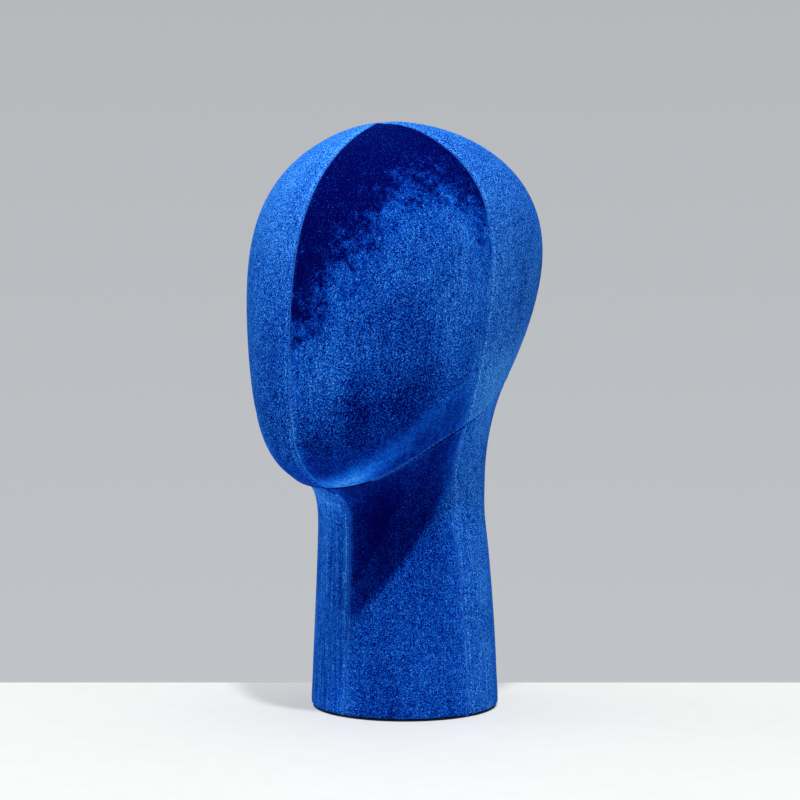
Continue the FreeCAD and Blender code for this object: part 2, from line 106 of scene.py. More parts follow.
TURNS = np.arange(0, 181, 1.5)
jaw_points = node_points("jaw_seam_thread_left")
jaw_points = np.vstack((jaw_points, jaw_points * (-1, 1, 1)))
found_tilt, found_turn = tilt_and_turn(jaw_points)
wrapped_turn = np.concatenate((found_turn, found_turn - 360, found_turn + 360))
JAW_TILTS = local_line(TURNS, wrapped_turn, np.tile(found_tilt, 3), 3.0)


def jaw_tilt(turn):
    """The tilt of the jaw seam at this turn."""
    return np.interp(np.abs(turn), TURNS, JAW_TILTS)


def fall_of(tilt, turn):
    """0 at the crown opening and 1 at the jaw seam."""
    return (tilt - CROWN_TILT) / (jaw_tilt(turn) - CROWN_TILT)


FALLS = np.concatenate((np.linspace(0, 0.84, 64)[:-1], np.linspace(0.84, 1, 40)))
found_tilt, found_turn = tilt_and_turn(node_points("side_seam_thread_left"))
SIDE_TURNS = local_line(FALLS, fall_of(found_tilt, found_turn), found_turn, 0.02)


def side_turn(fall):
    """The turn of the side seam, from the crown to the jaw."""
    return np.interp(fall, FALLS, SIDE_TURNS)


def filled_in(columns, values, bad):
    """The table with its bad places replaced along each row by a straight line between good neighbours."""
    for row, wrong in zip(values, bad):
        row[wrong] = np.interp(columns[wrong], columns[~wrong], row[~wrong])
    return values


def smoothed(table, passes=1):
    """The table with each value averaged with its neighbours, both ways; the ends keep their values."""
    for _ in range(passes):
        for axis in (0, 1):
            table = np.moveaxis(table, axis, 0)
            inner = 0.25 * table[:-2] + 0.5 * table[1:-1] + 0.25 * table[2:]
            table = np.moveaxis(np.concatenate((table[:1], inner, table[-1:])), 0, axis)
    return table


def table_value(table, rows, columns, row, column):
    """Linear reading of a table."""
    row, column = np.broadcast_arrays(row, column)
    i = np.clip(np.searchsorted(rows, row) - 1, 0, len(rows) - 2)
    j = np.clip(np.searchsorted(columns, column) - 1, 0, len(columns) - 2)
    u = (row - rows[i]) / (rows[i + 1] - rows[i])
    v = (column - columns[j]) / (columns[j + 1] - columns[j])
    top = table[i, j] * (1 - v) + table[i, j + 1] * v
    return top * (1 - u) + (table[i + 1, j] * (1 - v) + table[i + 1, j + 1] * v) * u


GAP = 1.3 * MM  # the covers stop this far from the middle of a seam, so nothing nearer is read from them
FAR = 0.4       # a reading starts this far out and looks inwards
HEAD_READ_TO = 0.9925


def read_head():
    """Distance from INSIDE to the velvet, by fall and turn, for the left half."""
    tree = tree_of(("face_cover_left", "back_cover_left", "face_cover_right", "back_cover_right"))
    reach = np.full((len(FALLS), len(TURNS)), np.nan)
    for i, fall in enumerate(FALLS):
        for j, turn in enumerate(TURNS):
            tilt = CROWN_TILT + min(fall, HEAD_READ_TO) * (JAW_TILTS[j] - CROWN_TILT)
            ray = Vector(towards(np.array(tilt), np.array(turn)))
            hit = tree.ray_cast(Vector(INSIDE) + ray * FAR, -ray)[0]
            if hit is not None:
                reach[i, j] = (hit - Vector(INSIDE)).length
    tilts = CROWN_TILT + FALLS[:, None] * (JAW_TILTS - CROWN_TILT)
    run = np.nan_to_num(reach, nan=0.1) * np.radians(1) * np.sin(np.radians(tilts))
    to_seam = np.minimum(np.minimum(TURNS, 180 - TURNS), np.abs(TURNS - SIDE_TURNS[:, None])) * run
    bad = np.isnan(reach) | (to_seam < GAP)
    for row in bad:
        if row.all():
            row[:] = False
    near_crown = run.max(axis=1) * 90 < 4 * GAP
    first_good = int(np.argmin(near_crown))
    reach[first_good:] = filled_in(TURNS, reach[first_good:], bad[first_good:])
    reach[:first_good] = reach[first_good].mean()
    return smoothed(reach, 2)


HEAD = read_head()


def head_form(fall, turn):
    """Points of the velvet's outer face on the left half of the head."""
    fall, turn = np.broadcast_arrays(np.asarray(fall, float), np.asarray(turn, float))
    tilt = CROWN_TILT + fall * (jaw_tilt(turn) - CROWN_TILT)
    reach = table_value(HEAD, FALLS, TURNS, fall, turn)
    return INSIDE + towards(tilt, turn) * reach[..., None]


# The neck is read level by level, round an upright axis.
AXIS_Y = -2 * MM
HEM_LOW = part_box("neck_cover_front_left")[0].z
HEM_ROLL = 1.8 * MM
HEM_TOP = HEM_LOW + HEM_ROLL
BEARINGS = np.arange(0, 181, 1.5)
found_bearing = np.degrees(np.arctan2(jaw_points[:, 0], AXIS_Y - jaw_points[:, 1]))
wrapped_bearing = np.concatenate((found_bearing, found_bearing - 360, found_bearing + 360))
TOP_LEVELS = local_line(BEARINGS, wrapped_bearing, np.tile(jaw_points[:, 2], 3), 3.0)
TOP_REACHES = local_line(
    BEARINGS, wrapped_bearing, np.tile(np.hypot(jaw_points[:, 0], jaw_points[:, 1] - AXIS_Y), 3), 3.0)
CLIMBS = np.concatenate((np.linspace(-1, 0, 9)[:-1], np.linspace(0, 0.7, 30)[:-1], np.linspace(0.7, 1, 40)))
NECK_READ_TO = 0.985
THREAD_COVER = 0.5 * MM  # the velvet stands this far over the middle of the jaw seam's thread


def neck_level(climb, bearing):
    """Height on the neck: climb is -1 at the hem's lower edge, 0 where its roll ends, 1 at the jaw seam."""
    rolled = HEM_TOP - HEM_ROLL * np.sin(np.radians(-90 * np.minimum(climb, 0)))
    top = np.interp(np.abs(bearing), BEARINGS, TOP_LEVELS)
    return np.where(climb < 0, rolled, HEM_TOP + climb * (top - HEM_TOP))


seam_points = node_points("neck_side_seam_thread_left")
seam_bearing = np.degrees(np.arctan2(seam_points[:, 0], AXIS_Y - seam_points[:, 1]))
seam_climb = (seam_points[:, 2] - HEM_TOP) / (np.interp(seam_bearing, BEARINGS, TOP_LEVELS) - HEM_TOP)
NECK_SEAM = local_line(np.maximum(CLIMBS, 0), seam_climb, seam_bearing, 0.03)


def neck_side_bearing(climb):
    """The bearing of the side seam, from the hem to the jaw."""
    return np.interp(climb, CLIMBS, NECK_SEAM)


def read_neck():
    """Distance from the neck's axis to the velvet, by climb and bearing, for the left half."""
    tree = tree_of(("neck_cover_front_left", "neck_cover_back_left",
                    "neck_cover_front_right", "neck_cover_back_right"))
    reach = np.full((len(CLIMBS), len(BEARINGS)), np.nan)
    for i, climb in enumerate(CLIMBS):
        for j, bearing in enumerate(BEARINGS):
            level = float(neck_level(np.clip(climb, -0.98, NECK_READ_TO), bearing))
            around = math.radians(bearing)
            ray = Vector((math.sin(around), -math.cos(around), 0))
            axis = Vector((0, AXIS_Y, level))
            hit = tree.ray_cast(axis + ray * FAR, -ray)[0]
            if hit is not None:
                reach[i, j] = (hit - axis).length
    run = np.nan_to_num(reach, nan=0.06) * np.radians(1)
    to_seam = np.minimum(np.minimum(BEARINGS, 180 - BEARINGS), np.abs(BEARINGS - NECK_SEAM[:, None])) * run
    reach = filled_in(BEARINGS, reach, np.isnan(reach) | (to_seam < GAP))
    above = CLIMBS > NECK_READ_TO
    share = ((CLIMBS[above] - NECK_READ_TO) / (1 - NECK_READ_TO))[:, None]
    last = reach[~above][-1]
    reach[above] = last * (1 - share) + (TOP_REACHES + THREAD_COVER) * share
    return smoothed(reach, 1)


NECK = read_neck()


def neck_form(climb, bearing):
    """Points of the velvet's outer face on the left half of the neck."""
    climb, bearing = np.broadcast_arrays(np.asarray(climb, float), np.asarray(bearing, float))
    reach = table_value(NECK, CLIMBS, BEARINGS, climb, bearing)
    around = np.radians(bearing)
    level = neck_level(climb, bearing)
    return np.stack((reach * np.sin(around), AXIS_Y - reach * np.cos(around), level), axis=-1)


# ------------------------------------------------------------------ velvet panels

VELVET_THICKNESS = 1.2 * MM
SEAM_DEPTH = 1.0 * MM   # how far a panel's edge rolls in at a seam
ROLL = 0.85 * MM        # half width of that roll
ALLOWANCE = 5.0 * MM    # the seam allowance turned under beside a seam, which shows as a low ridge
RIDGE = 0.20 * MM
RIDGE_EDGE = 0.45 * MM  # how softly the ridge ends
RIDGE_START = 1.6 * MM
SEAM_SHEEN = 0.16       # the pile opens where it turns into a seam and catches the light
SHEEN_AT = 1.6 * MM
JAW_SHADE = 0.32        # painted shade in the jaw seam itself, and a little in the upright seams
SIDE_SHADE = 0.08
SEAM_SOFTNESS = 0.7 * MM
EDGE_STEPS = np.array((0.0, 0.3, 0.6, 0.95, 1.35, 1.9, 2.7, 3.6, 4.4, 5.0, 5.6, 6.4, 8.0)) * MM


def seam_relief(distance):
    """Height of the velvet over the form, by its distance from a seam."""
    dip = -SEAM_DEPTH * np.exp(-((distance / ROLL) ** 2))
    ridge = RIDGE / (1 + np.exp((distance - ALLOWANCE) / RIDGE_EDGE))
    return dip + ridge * (1 - np.exp(-((distance / RIDGE_START) ** 2)))


def spread(length, inner):
    """Distances along a line between two seams: close together at both ends and `inner` steps between."""
    squeeze = min(1.0, length / (2.6 * EDGE_STEPS[-1]))
    steps = EDGE_STEPS * squeeze
    middle = np.linspace(steps[-1], length - steps[-1], inner + 1)[1:-1]
    return np.concatenate((steps, middle, length - steps[::-1]))


def run_along(points):
    """Distance from the first point to each point of a line of points."""
    gaps = np.linalg.norm(np.diff(points, axis=0), axis=1)
    return np.concatenate(([0.0], np.cumsum(gaps)))


ROW_SAMPLES = 91  # places along a row where its length is measured


def grid_of(form, levels, first_edge, last_edge, inner):
    """A panel's points on the form, row by row, and their distances from the nearer side edge."""
    rows, to_edge = [], []
    for level in levels:
        turns = np.linspace(first_edge(level), last_edge(level), ROW_SAMPLES)
        along = run_along(form(level, turns))
        wanted = spread(along[-1], inner)
        rows.append(form(level, np.interp(wanted, along, turns)))
        to_edge.append(np.minimum(wanted, along[-1] - wanted))
    return np.array(rows), np.array(to_edge)


def normals_of(grid, outward_from):
    """Unit normals of a grid of points, facing away from outward_from."""
    across, down = np.gradient(grid, axis=1), np.gradient(grid, axis=0)
    normal = np.cross(across, down)
    normal /= np.maximum(np.linalg.norm(normal, axis=2), 1e-12)[..., None]
    flip = np.sign(np.sum(normal * (grid - outward_from), axis=2))
    return normal * flip[..., None]


def mesh_piece(name, points, faces, material):
    """A mesh object that rides on the one body."""
    mesh = bpy.data.meshes.new(name)
    mesh.from_pydata([tuple(point) for point in points], [], faces)
    mesh.materials.append(material)
    for polygon in mesh.polygons:
        polygon.use_smooth = True
    mesh.update()
    piece = bpy.data.objects.new(name, mesh)
    bpy.context.scene.collection.objects.link(piece)
    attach(piece, "root")
    return piece


def grid_faces(rows, columns):
    """The faces of a grid of points."""
    faces = []
    for i in range(rows - 1):
        for j in range(columns - 1):
            a = i * columns + j
            faces.append((a, a + 1, a + columns + 1, a + columns))
    return faces


def set_values(piece, name, values):
    """A number for each vertex, which the material reads."""
    attribute = piece.data.attributes.new(name, "FLOAT", "POINT")
    attribute.data.foreach_set("value", np.asarray(values, dtype=np.float32).ravel())


def soft_step(value, low, high):
    """0 below low, 1 above high, and smooth between."""
    share = np.clip((value - low) / (high - low), 0, 1)
    return share * share * (3 - 2 * share)


def pucker(to_seam, along_seam, phase):
    """Faint waves that sewing pulls into the velvet beside a seam."""
    wave = np.sin(along_seam / (5.3 * MM) + phase) + 0.6 * np.sin(along_seam / (3.1 * MM) + 2 * phase)
    return 0.07 * MM * wave * np.exp(-((to_seam - 2.2 * MM) / (2.2 * MM)) ** 2)


# Rows of a panel's grid: even steps, then close together where the panel rolls into the jaw seam.
HEAD_RUN = 0.21  # about how far it is down a head panel
NECK_RUN = 0.13  # and up a neck panel
HEAD_LEVELS = np.concatenate((
    np.linspace(0, 0.12, 16)[:-1], np.linspace(0.12, 0.955, 64), 1 - EDGE_STEPS[-2::-1] / HEAD_RUN))
NECK_LEVELS = np.concatenate((
    np.linspace(-1, 0, 9)[:-1], np.linspace(0, 0.93, 46), 1 - EDGE_STEPS[-3::-1] / NECK_RUN))
NECK_LEVELS = np.unique(np.clip(NECK_LEVELS, -1, 1))


def build_panel(name, node, where, pile_of, comb, phase, mirrored):
    """One velvet panel: the form plus its seams' relief, with the pile's state and its painted light and
    shade set at each vertex.
    """
    form, levels, edges, inner = where
    grid, to_side = grid_of(form, levels, edges[0], edges[1], inner)
    to_jaw = np.array([run_along(column)[-1] - run_along(column) for column in np.moveaxis(grid, 1, 0)]).T
    to_seam = np.minimum(to_side, to_jaw)
    centre = INSIDE if form is head_form else np.array((0, AXIS_Y, 0.1))
    relief = seam_relief(to_seam) + pucker(to_side, to_jaw, phase)
    grid = grid + normals_of(grid, centre) * relief[..., None]
    rows, columns = to_seam.shape
    share = np.array([(run_along(row) / max(run_along(row)[-1], 1e-9)) for row in grid])
    lay_and_light, brushed, grain = pile_of(np.broadcast_to(levels[:, None], share.shape), share)
    # painted highlight where the pile turns into a seam, and painted shade in the jaw seam and, faintly, in
    # the upright seams
    lay_and_light = lay_and_light + SEAM_SHEEN * np.exp(-(((to_seam - SHEEN_AT) / SEAM_SOFTNESS) ** 2))
    for shade, distance in ((JAW_SHADE, to_jaw), (SIDE_SHADE, to_side)):
        lay_and_light -= shade * np.exp(-((distance / SEAM_SOFTNESS) ** 2))
    if mirrored:
        grid = grid * (-1, 1, 1)
    piece = mesh_piece(name, grid.reshape(-1, 3), grid_faces(rows, columns), VELVET)
    middle = piece.data.polygons[len(piece.data.polygons) // 2]
    if middle.normal.dot(Vector(np.array(middle.center) - centre * (0, 1, 1))) < 0:
        piece.data.flip_normals()
    for value, numbers in (("lay_and_light", lay_and_light), ("comb", comb), ("brushed", brushed), ("grain", grain)):
        set_values(piece, value, np.broadcast_to(numbers, lay_and_light.shape))
    thickness = piece.modifiers.new("thickness", "SOLIDIFY")
    thickness.thickness = VELVET_THICKNESS
    thickness.offset = -1
    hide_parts(node)
    return piece


# ------------------------------------------------------------------ materials

def material(name, **sockets):
    """A new material, its node tree and its shader, with plain values set on the shader's own sockets."""
    made = bpy.data.materials.new(name)
    made.use_nodes = True
    shader = made.node_tree.nodes["Principled BSDF"]
    for socket, value in sockets.items():
        shader.inputs[socket.replace("_", " ")].default_value = value
    return made, made.node_tree, shader


def place(tree):
    return tree.nodes.new("ShaderNodeTexCoord").outputs["Object"]


def noise(tree, at, scale, detail=2.0, roughness=0.5, distortion=0.0):
    node = tree.nodes.new("ShaderNodeTexNoise")
    tree.links.new(at, node.inputs["Vector"])
    for socket, value in (("Scale", scale), ("Detail", detail), ("Roughness", roughness),
                          ("Distortion", distortion)):
        node.inputs[socket].default_value = value
    return node.outputs["Fac"]


def stretched(tree, at, scale):
    node = tree.nodes.new("ShaderNodeMapping")
    tree.links.new(at, node.inputs["Vector"])
    node.inputs["Scale"].default_value = scale
    return node.outputs["Vector"]


def calc(tree, operation, first, second=0.0, third=None):
    node = tree.nodes.new("ShaderNodeMath")
    node.operation = operation
    for socket, value in zip(node.inputs, (first, second, third)):
        if value is None:
            continue
        if isinstance(value, (int, float)):
            socket.default_value = value
        else:
            tree.links.new(value, socket)
    return node.outputs[0]


def ramp(tree, value, stops):
    node = tree.nodes.new("ShaderNodeValToRGB")
    tree.links.new(value, node.inputs["Fac"])
    elements = node.color_ramp.elements
    while len(elements) < len(stops):
        elements.new(0.5)
    for element, (position, colour) in zip(elements, stops):
        element.position = position
        element.color = (*colour, 1)
    return node.outputs["Color"]


def blend_colour(tree, share, first, second):
    node = tree.nodes.new("ShaderNodeMix")
    node.data_type = "RGBA"
    inputs = [socket for socket in node.inputs if socket.enabled]
    for socket, value in zip(inputs, (share, first, second)):
        if isinstance(value, (int, float)):
            socket.default_value = value
        elif isinstance(value, tuple):
            socket.default_value = (*value, 1)
        else:
            tree.links.new(value, socket)
    return [socket for socket in node.outputs if socket.enabled][0]


def bumped(tree, shader, height, distance, strength=1.0):
    node = tree.nodes.new("ShaderNodeBump")
    node.inputs["Distance"].default_value = distance
    node.inputs["Strength"].default_value = strength
    tree.links.new(height, node.inputs["Height"])
    tree.links.new(node.outputs["Normal"], shader.inputs["Normal"])


# Pile colours, from lying away from the light to standing in it.
PILE = (
    (0.00, (0.0006, 0.0008, 0.075)),
    (0.22, (0.0008, 0.0040, 0.135)),
    (0.42, (0.0022, 0.0330, 0.360)),
    (0.60, (0.0042, 0.1000, 0.640)),
    (0.80, (0.0110, 0.1950, 0.890)),
    (1.00, (0.1100, 0.4400, 0.985)),
)
NOT_BRUSHED = -7.0
BRUSHED_SHADE = 0.62  # painted shade: how much darker the pile looks from this side where a hand has brushed it down
RIM_SHEEN_COLOUR = (0.05, 0.28, 0.84)  # painted sheen: the pile seen from its side, where the surface turns away
RIM_SHEEN_MOST = 0.5


def attribute_value(tree, name):
    node = tree.nodes.new("ShaderNodeAttribute")
    node.attribute_name = name
    return node.outputs["Fac"]


def soft_threshold(tree, value, low, high):
    node = tree.nodes.new("ShaderNodeMapRange")
    node.interpolation_type = "SMOOTHSTEP"
    tree.links.new(value, node.inputs["Value"])
    node.inputs["From Min"].default_value, node.inputs["From Max"].default_value = low, high
    return node.outputs["Result"]


def off_middle(tree, pattern, amount, base):
    """The base plus this amount of a pattern that swings both ways about 0.5."""
    return calc(tree, "MULTIPLY_ADD", calc(tree, "SUBTRACT", pattern, 0.5), amount, base)


def velvet_material(name, painted=True):
    """Short crushed pile: its shade follows the lay with its painted light and shade, broken up by clumps,
    combed streaks and bright tufts, and takes a painted sheen where the surface turns away.

    The panels carry the lay with its painted light and shade, comb, brushed and grain at each vertex;
    unpainted velvet has one lay all over.
    """
    made, tree, shader = material(name, Specular_IOR_Level=0.0, Sheen_Weight=0.12, Sheen_Roughness=0.35,
                                  Sheen_Tint=(0.04, 0.30, 1.0, 1))
    at = place(tree)
    lay_and_light, comb, brushed, grain = (
        attribute_value(tree, value) if painted else plain
        for value, plain in (("lay_and_light", 0.5), ("comb", 0.0), ("brushed", NOT_BRUSHED), ("grain", 1.0)))
    tufts = noise(tree, at, 1350, detail=1.5, roughness=0.7, distortion=0.4)
    clumps = noise(tree, at, 230, detail=3.0, roughness=0.6)
    blotches = noise(tree, at, 115, detail=4.0, roughness=0.6)
    drifts = noise(tree, stretched(tree, at, (30, 30, 14)), 1.0, detail=2.0)
    combed = noise(tree, stretched(tree, at, (560, 560, 20)), 1.0, detail=2.0)
    shade = off_middle(tree, tufts, calc(tree, "MULTIPLY", grain, 2.7), lay_and_light)
    for pattern, amount in ((clumps, 0.30), (drifts, 0.34), (combed, comb)):
        shade = off_middle(tree, pattern, amount, shade)
    # the brushed-down patch: the pile is brushed there, and its darker look from this side is painted shade
    inside = brushed
    for pattern, amount in ((blotches, 8.0), (clumps, 6.0), (tufts, 6.0)):
        inside = off_middle(tree, pattern, amount, inside)
    brushed_shade_mask = soft_threshold(tree, inside, -3.2, 3.2)
    shade = calc(tree, "MULTIPLY_ADD", brushed_shade_mask, -BRUSHED_SHADE, shade)
    colour = ramp(tree, shade, PILE)
    # painted sheen at the rims, where the surface turns away, blended into the colour
    edge = tree.nodes.new("ShaderNodeLayerWeight")
    edge.inputs["Blend"].default_value = 0.2
    rim_sheen = calc(tree, "POWER", edge.outputs["Facing"], 3.0)
    strength = calc(tree, "MINIMUM", RIM_SHEEN_MOST, calc(tree, "MULTIPLY", shade, 0.8))
    share = calc(tree, "MAXIMUM", calc(tree, "MULTIPLY", rim_sheen, strength), 0.0)
    colour = blend_colour(tree, share, colour, RIM_SHEEN_COLOUR)
    tree.links.new(colour, shader.inputs["Base Color"])
    tree.links.new(calc(tree, "MULTIPLY_ADD", clumps, 0.4, 0.5), shader.inputs["Roughness"])
    height = calc(tree, "MULTIPLY_ADD", clumps, 0.6, tufts)
    bumped(tree, shader, height, 0.3 * MM, 0.8)
    return made


VELVET = velvet_material("velvet_pile")


def thread_material():
    made, tree, shader = material("sewing_thread", Specular_IOR_Level=0.05)
    twist = noise(tree, place(tree), 2200, detail=1)
    tree.links.new(ramp(tree, twist, ((0.35, (0.006, 0.07, 0.45)), (0.65, (0.04, 0.24, 0.80)))),
                   shader.inputs["Base Color"])
    tree.links.new(calc(tree, "MULTIPLY_ADD", twist, 0.3, 0.35), shader.inputs["Roughness"])
    bumped(tree, shader, twist, 0.1 * MM)
    return made


def mottled(name, scale, dark, light, roughness, relief, stretch=(1, 1, 1), **sockets):
    """A plain worn surface: two tones and a relief from one noise, drawn out along the stretch."""
    made, tree, shader = material(name, **sockets)
    grain = noise(tree, stretched(tree, place(tree), stretch), scale, detail=4, roughness=0.6)
    tree.links.new(ramp(tree, grain, ((0.3, dark), (0.7, light))), shader.inputs["Base Color"])
    tree.links.new(calc(tree, "MULTIPLY_ADD", grain, 0.3, roughness - 0.15), shader.inputs["Roughness"])
    bumped(tree, shader, grain, relief)
    return made


def tape_material():
    """Glass-cloth tape: two crossed sets of ribs."""
    made, tree, shader = material("glass_tape", Roughness=0.6)
    at = place(tree)
    ribs = []
    for axis in ("X", "Z"):
        wave = tree.nodes.new("ShaderNodeTexWave")
        wave.bands_direction = axis
        wave.inputs["Scale"].default_value = 180
        wave.inputs["Distortion"].default_value = 0.6
        tree.links.new(at, wave.inputs["Vector"])
        ribs.append(wave.outputs["Fac"])
    weave = calc(tree, "MAXIMUM", *ribs)
    tree.links.new(ramp(tree, weave, ((0.2, (0.42, 0.40, 0.33)), (0.9, (0.72, 0.70, 0.62)))),
                   shader.inputs["Base Color"])
    bumped(tree, shader, weave, 0.2 * MM)
    return made


LOOKS = (
    (velvet_material("velvet_fold", painted=False), ("hem_fold",)),
    (mottled("open_foam", 900, (0.45, 0.46, 0.48), (0.78, 0.79, 0.80), 0.9, 0.5 * MM),
     ("head_lining_left", "head_lining_right", "neck_lining_left", "neck_lining_right")),
    (mottled("glass_fibre_resin", 140, (0.46, 0.36, 0.20), (0.70, 0.60, 0.40), 0.4, 0.3 * MM, (1, 1, 4)),
     ("shell_left", "shell_right")),
    (tape_material(), ("joint_tape_front", "joint_tape_back")),
    (mottled("birch_plywood", 30, (0.50, 0.34, 0.18), (0.72, 0.54, 0.33), 0.6, 0.15 * MM, (1, 9, 30)),
     ("base_board",)),
    (mottled("rolled_steel", 90, (0.10, 0.10, 0.11), (0.22, 0.22, 0.23), 0.45, 0.05 * MM, (1, 6, 1),
             Metallic=1.0),
     ("ballast_plate",)),
    (mottled("zinc_plate", 400, (0.45, 0.46, 0.47), (0.66, 0.67, 0.68), 0.35, 0.03 * MM, Metallic=1.0),
     ("ballast_screws", "ballast_washers", "shell_screws", "hem_staples")),
    (mottled("felt_pad", 1100, (0.004, 0.006, 0.014), (0.02, 0.025, 0.045), 0.95, 0.4 * MM), ("base_pad",)),
)
for look, names in LOOKS:
    for name in names:
        cad[name].material_slots[0].material = look


# ------------------------------------------------------------------ the lay of the pile on each panel, with painted light and shade

# Lower edge of the brushed-down patch, whose darker look is painted shade, on the left face panel: share of
# the way to the side seam, and fall.
PATCH_ACROSS = (0.0, 0.05, 0.10, 0.16, 0.22, 0.30, 0.38, 0.46, 0.55, 0.65, 0.80, 0.90, 1.0)
PATCH_FALL = (0.59, 0.59, 0.53, 0.48, 0.42, 0.38, 0.34, 0.29, 0.26, 0.26, 0.28, 0.34, 0.41)
# How far, in fall, the patch takes to break up, at these shares of the way across.
EDGE_ACROSS = (0.30, 0.45, 0.75, 0.90)
PATCH_EDGE = (0.055, 0.036, 0.036, 0.050)
# The fold of light along the jaw, in the same measures.
JAW_ACROSS = (0.0, 0.1, 0.25, 0.40, 0.55, 0.75, 1.0)
JAW_FALL = (0.985, 0.985, 0.972, 0.960, 0.942, 0.905, 0.87)
JAW_LIGHT = (0.15, 0.26, 0.30, 0.07, -0.06, -0.02, 0.0)


def streak(share, level, middle, width, low, high):
    """1 inside an upright brushed streak, with soft sides and ends."""
    across = np.exp(-(((share - middle) / width) ** 2))
    return across * soft_step(level, low, low + 0.1) * (1 - soft_step(level, high - 0.1, high))


# Upright streaks on the left face panel: change of lay, share across, half width, start and end.
FACE_STREAKS = (
    (0.09, 0.85, 0.15, 0.28, 0.70),
    (0.04, 0.26, 0.05, 0.58, 0.80),
    (-0.12, 0.18, 0.07, 0.50, 0.72),
    (-0.12, 0.52, 0.12, 0.50, 0.92),
    (-0.10, 0.65, 0.07, 0.56, 0.84),
    (-0.17, 0.33, 0.05, 0.68, 0.92),
)


def face_left_pile(fall, share):
    """Lay with painted light and shade, brushing and grain: brushed down above, painted shade and a smooth
    grain low on the cheek, and a painted highlight along the jaw with painted shade below it.
    """
    brushed = (np.interp(share, PATCH_ACROSS, PATCH_FALL) - fall) / np.interp(share, EDGE_ACROSS, PATCH_EDGE)
    brushed = np.minimum(brushed, -NOT_BRUSHED - 5.0 * soft_step(fall, 0.28, 0.38))
    lay_and_light = 0.52 + sum(amount * streak(share, fall, *where) for amount, *where in FACE_STREAKS)
    highlight_band = np.interp(share, JAW_ACROSS, JAW_FALL)
    # painted shade low on the cheek, where it turns down away from the light
    low_cheek_shade = soft_step(fall, 0.72, 0.86) * (1 - soft_step(fall, highlight_band - 0.05, highlight_band - 0.01))
    lay_and_light -= 0.20 * low_cheek_shade * soft_step(share, 0.0, 0.09) * (1 - 0.6 * soft_step(share, 0.6, 1.0))
    # painted highlight along the jaw
    lay_and_light += np.interp(share, JAW_ACROSS, JAW_LIGHT) * np.exp(-(((fall - highlight_band) / 0.024) ** 2))
    # painted shade below the jaw's highlight
    shade_below_band = soft_step(fall, highlight_band + 0.005, highlight_band + 0.03) * soft_step(share, 0.2, 0.5)
    lay_and_light -= 0.20 * shade_below_band * (1 - 0.7 * soft_step(share, 0.6, 0.85))
    # painted highlight on the middle seam at the chin
    lay_and_light += 0.30 * np.exp(-((share / 0.016) ** 2)) * soft_step(fall, 0.78, 0.85)
    lay_and_light += 0.12 * soft_step(share, 0.90, 0.96) * soft_step(fall, 0.7, 0.8)
    return lay_and_light, np.maximum(brushed, NOT_BRUSHED), 1 - 0.65 * soft_step(fall, 0.84, 0.93)


def face_right_pile(fall, share):
    """Painted highlight at the top, and darker low beside the middle seam."""
    lay_and_light = 0.58 + 0.16 * (1 - soft_step(fall, 0.2, 0.45)) - 0.10 * streak(share, fall, 0.12, 0.10, 0.1, 0.4)
    lay_and_light -= 0.13 * (1 - soft_step(share, 0.05, 0.35)) * soft_step(fall, 0.45, 0.8)
    return lay_and_light, NOT_BRUSHED, 1 - 0.5 * soft_step(fall, 0.88, 0.95)


def back_pile(fall, share):
    """Even, with two upright streaks, and lighter towards the jaw seam; the lay is set partly higher as
    painted light from the right side.
    """
    # the even lay is set partly higher as painted light from the right side
    lay_and_light = 0.61 + 0.18 * soft_step(fall, 0.72, 0.90)
    lay_and_light -= 0.07 * (1 - soft_step(share, 0.02, 0.12)) * soft_step(fall, 0.75, 0.88)
    lay_and_light -= 0.10 * streak(share, fall, 0.25, 0.06, 0.4, 0.75) + 0.08 * streak(share, fall, 0.6, 0.08, 0.3, 0.8)
    return lay_and_light, NOT_BRUSHED, 1.15


def neck_near_pile(climb, share):
    """Darker where the jaw keeps the light off, and darkest in the middle of that shadow."""
    under_jaw = soft_step(climb - 0.42 * share, 0.37, 0.43)
    core = soft_step(climb - 0.8 * share, 0.47, 0.53) * soft_step(share, 0.02, 0.09)
    core = core * (1 - soft_step(climb, 0.86, 0.95))
    depth = np.interp(share, (0, 0.15, 0.55, 0.85, 1), (0.10, 0.21, 0.20, 0.16, 0.06))
    lay_and_light = 0.42 + 0.12 * soft_step(share, 0.78, 1.0) - depth * under_jaw - 0.13 * core
    lay_and_light += 0.06 * (1 - soft_step(share, 0.03, 0.12))
    return lay_and_light, NOT_BRUSHED, 0.85 - 0.4 * under_jaw


def neck_far_pile(climb, share):
    """Light, with a painted highlight just under the chin."""
    lay_and_light = 0.60 - 0.05 * (1 - soft_step(share, 0.02, 0.16))
    # painted highlight just under the chin
    lay_and_light += 0.28 * soft_step(climb, 0.78, 0.92) * soft_step(share, 0.0, 0.45)
    return lay_and_light, NOT_BRUSHED, 0.7


def neck_back_pile(climb, share):
    """A little darker at the hem; the lay is set partly higher as painted light from the right side."""
    lay_and_light = 0.50 + 0.12 * soft_step(climb, 0.2, 0.5) + 0.05 * soft_step(share, 0.0, 0.15)
    return lay_and_light - 0.08 * (1 - soft_step(share, 0.02, 0.2)) * soft_step(climb, 0.75, 0.9), NOT_BRUSHED, 1.0


def middle_front(level):
    return 0.0


def middle_back(level):
    return 180.0


